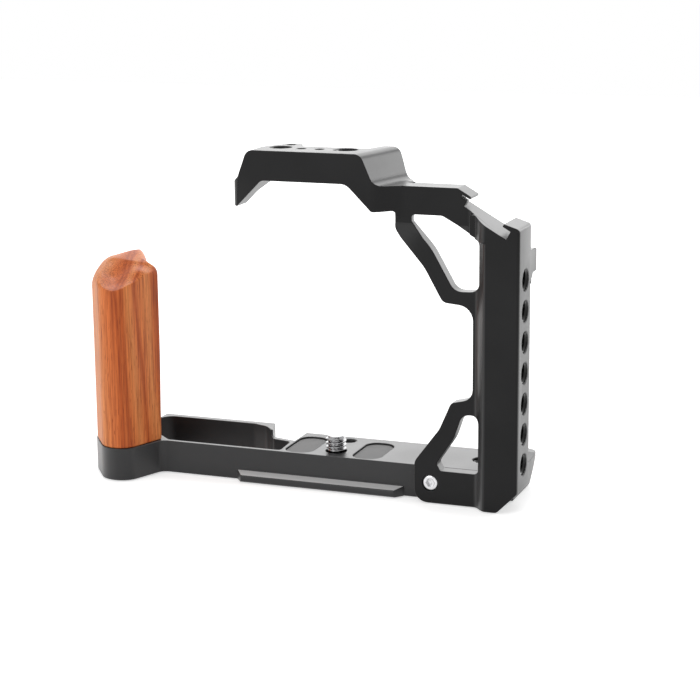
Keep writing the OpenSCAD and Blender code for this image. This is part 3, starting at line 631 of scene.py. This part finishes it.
def thin_plate(places):
    """A smooth height through measured places, as a thin sheet of steel would bend: a plane, plus for each
    place a weight times the squared distance times its logarithm. The weights are solved so that the sheet
    passes through every place and their sum, and their moments about both axes, are zero."""
    at, z = places[:, :2], places[:, 2]

    def bend(a):
        """Squared distance times its logarithm, from each place asked for to each place measured."""
        r2 = ((a[..., None, :] - at) ** 2).sum(-1)
        return r2 * np.log(r2 + 1e-9)

    n = len(at)
    plane = np.column_stack([np.ones(n), at])
    system = np.block([[bend(at), plane], [plane.T, np.zeros((3, 3))]])
    weights = np.linalg.solve(system, np.concatenate([z, np.zeros(3)]))
    return lambda a: bend(a) @ weights[:n] + weights[n] + a @ weights[n + 1:]


block, hollow = thin_plate(BLOCK), thin_plate(HOLLOW)
grip_middle = np.array([BOSS_X + 10.6, 9.5])
SHOULDERS = np.array([       # direction from the middle in degrees, and radius of the shoulder there
    (-180, 4.8), (-150, 4.0), (-125, 2.4), (-105, 1.0), (-60, 0.8),
    (-25, 1.4), (-5, 2.6), (45, 3.2), (90, 3.6), (180, 4.8)])
EDGE_ROUND = 0.4             # of the edge all round the top
CARVE_BLEND = 0.15           # of the ridge between the block and the hollow


def lower_of(a, b, blend):
    """The lower of two heights, rounded over where they cross: half their sum less half the root of their
    squared difference plus the squared blend."""
    return (a + b) / 2 - np.sqrt((a - b) ** 2 + blend ** 2) / 2


def quarter_drop(inside, radius):
    """How far a quarter circle has fallen at a distance inside the edge: the radius less the root of the
    radius squared less the square of what is left of it."""
    left = np.clip(radius - inside, 0, radius)
    return radius - np.sqrt(radius ** 2 - left ** 2)


def top_height(xy, inside):
    """Height of the carved top at places of the drawing frame, inside mm from the outline: the lower of the
    block with its shoulders and of the hollow, with the edge all round it rounded."""
    out = xy - grip_middle
    direction = np.degrees(np.arctan2(out[..., 1], out[..., 0]))
    radius = np.interp(direction, SHOULDERS[:, 0], SHOULDERS[:, 1])
    carved = lower_of(block(xy) - quarter_drop(inside, radius), hollow(xy), CARVE_BLEND)
    return carved - quarter_drop(inside, np.full(len(xy), EDGE_ROUND))


print("height of the top's middle:", round(float(top_height(grip_middle[None, :] + 0.01, 9.0)[0]), 1), "mm")

# %% Skin of the handle
FOOT_ROUND = 0.5
FLARE, FLARE_OVER = 0.45, 34.0          # how much wider the handle gets, and over which height
GRIP_W = 22.8
RIM_SHARE = 0.9              # distance from the outline, over the distance along the way to the middle


def flared(edge, z):
    """The outline at a height: each point moves right by its share of the width times the flare, which
    grows above the foot as half a wave of a cosine."""
    grown = (1 - np.cos(np.pi * np.clip((z - HANDLE_FOOT) / FLARE_OVER, 0, 1))) / 2
    return np.column_stack([edge[:, 0] + FLARE * grown * (edge[:, 0] - BOSS_X) / GRIP_W, edge[:, 1], z])


def handle_rings(count=400):
    """Rings from the middle of the foot, out round its edge, up the side and in over the carved top. A side
    ring's height is a share of the way to the top's edge above it. The top's rings stand closer together
    near the edge: their share of the way in is a square."""
    rings = []
    for share in np.linspace(0.1, 1, 6):
        edge = grip_middle + (grip_outline(HANDLE_IN + FOOT_ROUND, count) - grip_middle) * share
        rings.append(flared(edge, np.full(count, HANDLE_FOOT)))
    for turn in np.linspace(0.2, 1, 5) * np.pi / 2:
        edge = grip_outline(HANDLE_IN + FOOT_ROUND * (1 - math.sin(turn)), count)
        rings.append(flared(edge, np.full(count, HANDLE_FOOT + FOOT_ROUND * (1 - math.cos(turn)))))
    side = grip_outline(HANDLE_IN, count)
    reach = np.linalg.norm(side - grip_middle, axis=1)
    low, high = HANDLE_FOOT + FOOT_ROUND, top_height(side, 0.0)
    for share in np.linspace(0, 1, 41)[1:]:
        rings.append(flared(side, low + (high - low) * share))
    for share in np.linspace(0, 1, 111)[1:-1] ** 2:
        inner = side + (grip_middle - side) * share
        rings.append(flared(inner, top_height(inner, reach * share * RIM_SHARE)))
    return to_frame(np.array(rings))


handle = piece("wood_handle_carved", [skin(handle_rings())], "root", timber, 50)
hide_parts("wood_handle")

# %% [markdown]
# ## Threads
# Every accessory hole is threaded, and the camera screw carries the same thread. A screw thread is a wave
# that climbs: at height z and angle a, the tooth's place in its pitch is z over the pitch less a over a
# full turn. So a tube whose radius follows that wave is a thread. The tube for a hole goes up its toothed
# inner wall and down a plain outer wall that lies hidden in the metal.

# %% Climbing teeth
PITCH = 1.27                 # a quarter-inch thread has 20 turns to the inch
ROOT_FLAT, TOOTH_FLANK = 0.14, 0.66     # shares of half a pitch
CREVICE = 0.03               # between a bore's wall and the roots of its thread
HIDDEN = 0.15                # how deep in the metal the outer wall of a thread lies


def teeth(theta, z, pitch):
    """How far out of its root a thread stands, from 0 to 1: a triangle wave with its tips and roots cut
    flat."""
    place = (z / pitch - theta / (2 * np.pi)) % 1
    return np.clip((np.abs(place - 0.5) * 2 - ROOT_FLAT) / TOOTH_FLANK, 0, 1)


def stand(rings_local, base, direction):
    """Rings made about the Z axis, stood up on a base point along a direction."""
    w = np.array(direction, float)
    u = np.cross(w, [0, 1, 0] if abs(w[1]) < 0.9 else [1, 0, 0])
    u /= np.linalg.norm(u)
    turned = rings_local[..., :1] * u + rings_local[..., 1:2] * np.cross(w, u) + rings_local[..., 2:] * w
    return to_frame(turned + np.array(base, float))


def around(radius, z):
    """Rings of points at a radius and a height for each angle, from arrays of shape (rings, count)."""
    theta = np.linspace(0, 2 * np.pi, radius.shape[1], endpoint=False)[None, :]
    return np.stack([radius * np.cos(theta), radius * np.sin(theta), z + 0 * radius], -1)


def tapped_wall(base, direction, depth, wall_r=3.2, crest_r=2.62, count=60):
    """The threaded wall of a hole from its floor at base to its mouth. Its teeth fade out over the last
    turn."""
    z = np.linspace(0, depth, int(depth / PITCH * 12) + 1)[:, None]
    theta = np.linspace(0, 2 * np.pi, count, endpoint=False)[None, :]
    fade = np.clip((depth - z) / (0.8 * PITCH), 0, 1)
    root_r = wall_r - CREVICE
    inner = around(root_r - (root_r - crest_r) * teeth(theta, z, PITCH) * fade, z)
    outer = around(np.full((2, count), wall_r + HIDDEN), np.array([[depth], [0.0]]))
    return skin(stand(np.concatenate([inner, outer]), base, direction), loop=True)


SIDE_FIRST, SIDE_PITCH, SIDE_Y, SIDE_DEPTH = 13.6, 9.2, 6.8, 9.4
BRIDGE_X, BRIDGE_FRONT, TOP_PITCH, TOP_Y, TOP_DEPTH, CAGE_H = -66.5, 1.2, 10.5, 9.2, 7.0, 104.0
END_X, END_Y, END_DEPTH, END_FLOOR = -16.0, 19.0, 9.85, 0.05
MOUTH = 0.3                  # the plain rim above a thread
side_walls = [tapped_wall((-SIDE_DEPTH - CREVICE, SIDE_Y, SIDE_FIRST + i * SIDE_PITCH), (1, 0, 0),
                          SIDE_DEPTH - MOUTH + CREVICE) for i in range(7)]
top_walls = [tapped_wall((BRIDGE_X + x, BRIDGE_FRONT + TOP_Y, CAGE_H - TOP_DEPTH - CREVICE), (0, 0, 1),
                         TOP_DEPTH - MOUTH + CREVICE) for x in (-TOP_PITCH, TOP_PITCH)]
end_wall = tapped_wall((END_X, END_Y, END_FLOOR), (0, 0, 1), END_DEPTH)
piece("side_hole_threads", side_walls, "root", thread_black_shaded)
piece("top_hole_threads", top_walls, "root", thread_black_shaded)
piece("end_hole_thread", [end_wall], "root", thread_black_shaded)

# %% [markdown]
# ## The camera screw
# The screw stands up through the platform and goes into the socket under the camera. It is held in the base
# by a nylon washer and turned by a coin from below. Its shank is one stack of rings from the head up: head,
# neck, thread and a chamfered tip. The slot for the coin is cut in the head's own outline, seen from its
# side.

# %% Turn the camera screw
SCREW_AT = np.array([-61.9, 14.4, 0.0])
SCREW_R, SCREW_ROOT = 3.175, 2.52
NECK_R = 2.5
HEAD_R, HEAD_TOP, HEAD_H = 5.7, 3.72, 2.8
THREAD_FROM, THREAD_TO = 10.3, 15.1
SLOT_HALF, SLOT_DEPTH = 0.7, 1.5


def threaded_shank(base, z_from, z_to, r_low, root, crest, thread_from, pitch, count=72):
    """A shank whose radius is r_low up to thread_from, then climbs in teeth to its tip, which is
    chamfered."""
    z = np.linspace(z_from, z_to, int((z_to - z_from) / pitch * 14) + 1)[:, None]
    theta = np.linspace(0, 2 * np.pi, count, endpoint=False)[None, :]
    grown = np.clip((z - thread_from) / (0.5 * pitch), 0, 1)
    cut = root + (crest - root) * teeth(theta, z, pitch)
    tip = crest - np.clip(z - (z_to - 0.75), 0, None)
    radius = np.where(z < thread_from, r_low, r_low + (np.minimum(cut, tip) - r_low) * grown)
    ends = around(radius[:1] * 0.5, z[:1]), around(radius[-1:] * 0.6, z[-1:])
    return skin(stand(np.concatenate([ends[0], around(radius, z), ends[1]]), base, (0, 0, 1)))


def slotted_head(base, r, low, high, edge=0.35):
    """A round head with a slot across it, as slices along Y. Each slice is a rectangle in X and Z: as wide
    as the circle is there, and cut from below by the slot's depth where it lies inside the slot."""
    y = np.concatenate([
        -r * np.cos(np.linspace(0.05, math.acos((SLOT_HALF + 0.02) / r), 22)),
        [-SLOT_HALF - 0.01, -SLOT_HALF, SLOT_HALF, SLOT_HALF + 0.01],
        r * np.cos(np.linspace(math.acos((SLOT_HALF + 0.02) / r), 0.05, 22))])[:, None]
    x = np.sqrt(r * r - y * y)
    lowest = np.where(np.abs(y) <= SLOT_HALF, low + SLOT_DEPTH, low)
    soft = np.minimum(edge, x / 2)
    top, upper, lower = high + 0 * x, high - soft, lowest + soft
    ring_x = np.concatenate([-x, -x, -x + soft, x - soft, x, x, x - soft, -x + soft], 1)
    ring_z = np.concatenate([lower, upper, top, top, upper, lower, lowest, lowest], 1)
    rings = np.stack([ring_x, y + 0 * ring_x, ring_z], -1)
    return skin(to_frame(rings + base))


screw = piece("camera_screw_turned", [
    slotted_head(SCREW_AT, HEAD_R, HEAD_TOP - HEAD_H, HEAD_TOP),
    threaded_shank(SCREW_AT, HEAD_TOP - 0.5, THREAD_TO, NECK_R, SCREW_ROOT, SCREW_R, THREAD_FROM, PITCH),
], "screw", screw_steel_shaded, 30)
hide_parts("camera_screw")

# %% [markdown]
# ## The washer and the pads
# Both are flat pieces with soft edges. The washer is a closed profile carried round the screw. A pad is an
# outline carried in and up: rings that draw in over a quarter circle, then over a slightly crowned top.

# %% Washer and pads
WASHER_LOW, WASHER_T, WASHER_R, WASHER_BORE = 3.76, 0.8, 5.5, 2.56
PAD_W, PAD_L, PAD_R, PAD_T, PAD_LOW, PAD_PITCH, PAD_Y = 9.2, 18.0, 3.9, 1.2, 8.6, 22.2, 17.6


def washer_rings(low, height, inner, outer, soft=0.12, count=72):
    """A rectangle with cut corners, carried round the axis."""
    r = np.array([inner, inner, inner + soft, outer - soft, outer, outer, outer - soft, inner + soft])
    z = np.array([soft, height - soft, height, height, height - soft, soft, 0, 0]) + low
    return around(np.repeat(r[:, None], count, 1), z[:, None])


def pad_skin(middle_x, count=96, soft=0.35, crown=0.08):
    """A pad from the middle of its underside to the middle of its top. The top rises by the crown towards
    the middle, as one less the square of the distance from it."""

    def edge(inset):
        """The pad's outline, moved in."""
        w, l, r = PAD_W / 2 - inset, PAD_L / 2 - inset, PAD_R - inset
        corners = np.array([(-w, -l, r), (w, -l, r), (w, l, r), (-w, l, r)], float)
        return even_steps(rounded(corners, 8), count)
    rim = PAD_T - crown
    levels = [(edge(0.2) * s, 0.0) for s in (0.3, 0.7, 1.0)] + [(edge(0), 0.2), (edge(0), rim - soft)]
    for turn in np.linspace(0.25, 1, 4) * np.pi / 2:
        levels.append((edge(soft * (1 - math.cos(turn))), rim - soft + soft * math.sin(turn)))
    for s in np.linspace(1, 0, 9)[1:-1]:
        levels.append((edge(soft) * s, rim + crown * (1 - s * s)))
    rings = [np.column_stack([e, np.full(count, z)]) for e, z in levels]
    return skin(to_frame(np.array(rings) + np.array([middle_x, PAD_Y, PAD_LOW])))


washer = piece("screw_washer_turned", [
    skin(to_frame(washer_rings(WASHER_LOW, WASHER_T, WASHER_BORE, WASHER_R) + SCREW_AT), loop=True),
], "washer", nylon, 25)
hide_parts("screw_washer")
for name, side in (("pad_left", -1), ("pad_right", 1)):
    shape = pad_skin(SCREW_AT[0] + side * PAD_PITCH / 2)
    pad = piece(name + "_moulded", [shape], "root", rubber, 60)
    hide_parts(name)

# %% [markdown]
# ## Screws with hexagon sockets
# Two cap screws tie the frame to the base, and two flat head screws hold the handle from below. A screw is
# turned on a lathe, so it is a profile carried round its axis. Only the socket isn't round: its radius at
# each angle is that of a hexagon, half the width across its flats over the cosine of the angle from the
# nearest flat.

# %% Cap screws and flat head screws


def hexagon(across, count):
    """Radius of a hexagon at each of count angles, with a point of it at every corner."""
    theta = np.linspace(0, 2 * np.pi, count, endpoint=False)
    return across / 2 / np.cos((theta + np.pi / 6) % (np.pi / 3) - np.pi / 6)


def socket_head(outer, socket_across, socket_depth, top, count=96):
    """Rings of a head with a socket, from the rim of its underside to the middle of the socket's floor.
    outer is a list of (radius, height) up to the head's top face, and top is the height of that face."""
    hexa = hexagon(socket_across, count)
    rings = [(np.full(count, r), z) for r, z in outer]
    floor = top - socket_depth
    rings += [(hexa + 0.12, top), (hexa, top - 0.12), (hexa, floor), (hexa * 0.4, floor - 0.15)]
    return np.concatenate([around(r[None, :], np.array([[z]])) for r, z in rings])


def screw_skins(base, direction, head_rings, start, shank_r, length, pitch):
    """A screw's head, and its shank with a fine thread, which goes the other way, from a start inside the
    head."""
    z = np.linspace(start, length, int(length / pitch * 8))[:, None]
    theta = np.linspace(0, 2 * np.pi, 36, endpoint=False)[None, :]
    tip = shank_r - np.clip(z - (length - 0.5), 0, None)
    radius = np.minimum(shank_r * (0.8 + 0.2 * teeth(theta, z, pitch)), tip)
    down = -np.array(direction, float)
    return [skin(stand(head_rings, base, direction)), skin(stand(around(radius, z), base, down))]


CAP_R, CAP_H, CAP_SHANK, CAP_LENGTH, CAP_PITCH = 2.25, 2.5, 1.25, 10.0, 0.45
FLAT_R, FLAT_CONE, FLAT_SHANK, FLAT_LENGTH, FLAT_PITCH = 3.8, 1.8, 2.0, 16.0, 0.7
CAP_HEX, CAP_HEX_DEPTH = 2.35, 2.0
FLAT_HEX, FLAT_HEX_DEPTH = 2.5, 1.3
CAP_START, FLAT_START = -0.3, 1.6       # where a shank starts, past the cap's seat and the flat face
cap_profile = [(0.6, 0), (CAP_R - 0.1, 0), (CAP_R, 0.1), (CAP_R, CAP_H - 0.35), (CAP_R - 0.1, CAP_H - 0.14),
               (CAP_R - 0.3, CAP_H - 0.02), (CAP_R - 0.5, CAP_H)]
flat_profile = [(0.9, -FLAT_CONE + 0.1), (FLAT_SHANK, -FLAT_CONE), (FLAT_R - 0.15, -0.12),
                (FLAT_R - 0.05, -0.05), (FLAT_R - 0.2, 0)]
cap_head = socket_head(cap_profile, CAP_HEX, CAP_HEX_DEPTH, CAP_H)
flat_head = socket_head(flat_profile, FLAT_HEX, FLAT_HEX_DEPTH, 0)
FRONT_SEAT, BACK_SEAT = (-27.8, 6.0, 6.2), (-6.6, 18.5, 5.0)
GRIP_SCREW, GRIP_STEP = np.array([-129.6, 3.6, 0.0]), np.array([-3.96, 10.263, 0.0])
cap = (cap_head, CAP_START, CAP_SHANK, CAP_LENGTH, CAP_PITCH)
flat = (flat_head, FLAT_START, FLAT_SHANK, FLAT_LENGTH, FLAT_PITCH)
for name, place, out, kind in (
        ("frame_screw_front", FRONT_SEAT, (0, -1, 0), cap),
        ("frame_screw_back", BACK_SEAT, (0, 1, 0), cap),
        ("handle_screw_front", GRIP_SCREW, (0, 0, -1), flat),
        ("handle_screw_back", GRIP_SCREW + GRIP_STEP, (0, 0, -1), flat)):
    made = piece(name + "_turned", screw_skins(place, out, *kind), "root", steel, 28)
    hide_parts(name)

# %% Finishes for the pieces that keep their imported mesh
PACKED_FINISHES = {"frame_dowel_left": steel, "frame_dowel_right": steel,
                   "handle_sleeve_front": brass, "handle_sleeve_back": brass}
for node, finish in PACKED_FINISHES.items():
    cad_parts[node].data.materials.clear()
    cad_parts[node].data.materials.append(finish)
print("packed pieces finished:", len(PACKED_FINISHES))

# %% [markdown]
# ## Last settings
# The picture keeps its colours as they are worked out, so the view transform is Standard.

# %% View transform
bpy.context.scene.view_settings.view_transform = "Standard"
bpy.context.view_layer.update()
